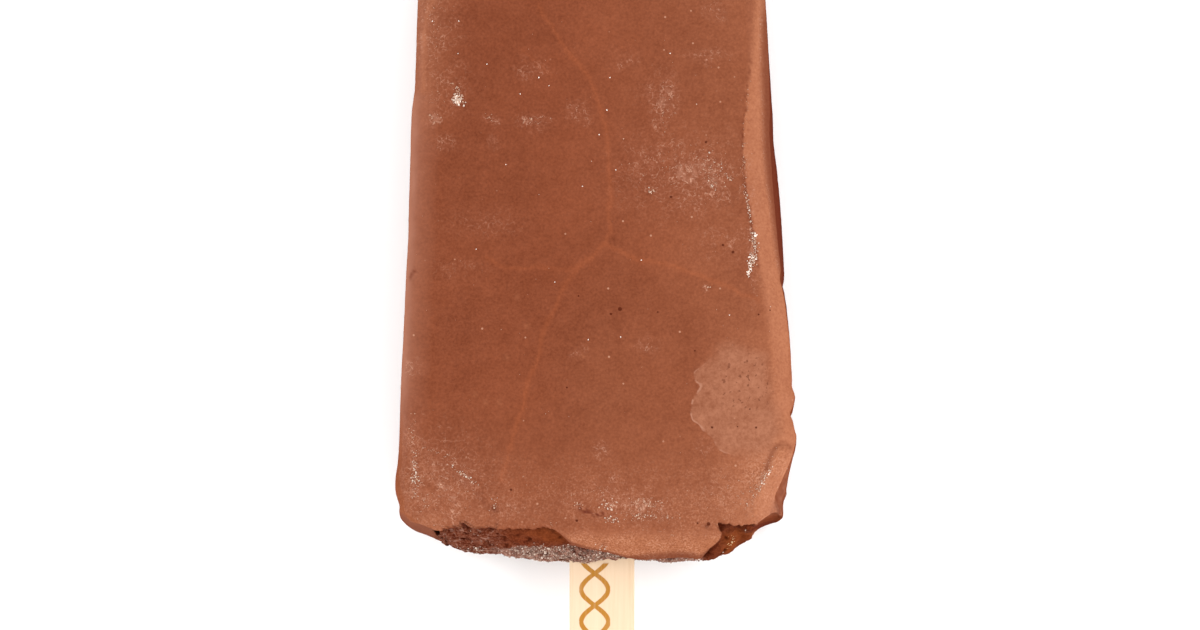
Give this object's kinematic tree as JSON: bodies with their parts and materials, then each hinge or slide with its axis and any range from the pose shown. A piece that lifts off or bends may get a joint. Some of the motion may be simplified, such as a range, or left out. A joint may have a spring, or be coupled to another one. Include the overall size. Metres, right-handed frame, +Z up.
{
  "type": "ice cream bar",
  "caption": "Chocolate-coated ice cream bar on a flat wooden stick, lying on its back, with a ragged coating lip and frosty dark filling at the stick end.",
  "frame": {"origin": "on the surface the bar lies on, under the middle of its box", "axes": "+Z up out of the bar's front face, +Y from the stick towards the bar's tip, +X to the right seen from above"},
  "size_m": [0.0528, 0.147, 0.0211],
  "materials": {
    "milk_chocolate": "satin milk chocolate with light frost",
    "chocolate_ice_cream": "matt, porous and frosty",
    "pale_wood": "smooth unvarnished birch"
  },
  "bodies": {
    "root": {"coating": "milk_chocolate", "ice_cream": "chocolate_ice_cream", "stick": "pale_wood"}
  },
  "joints": []
}
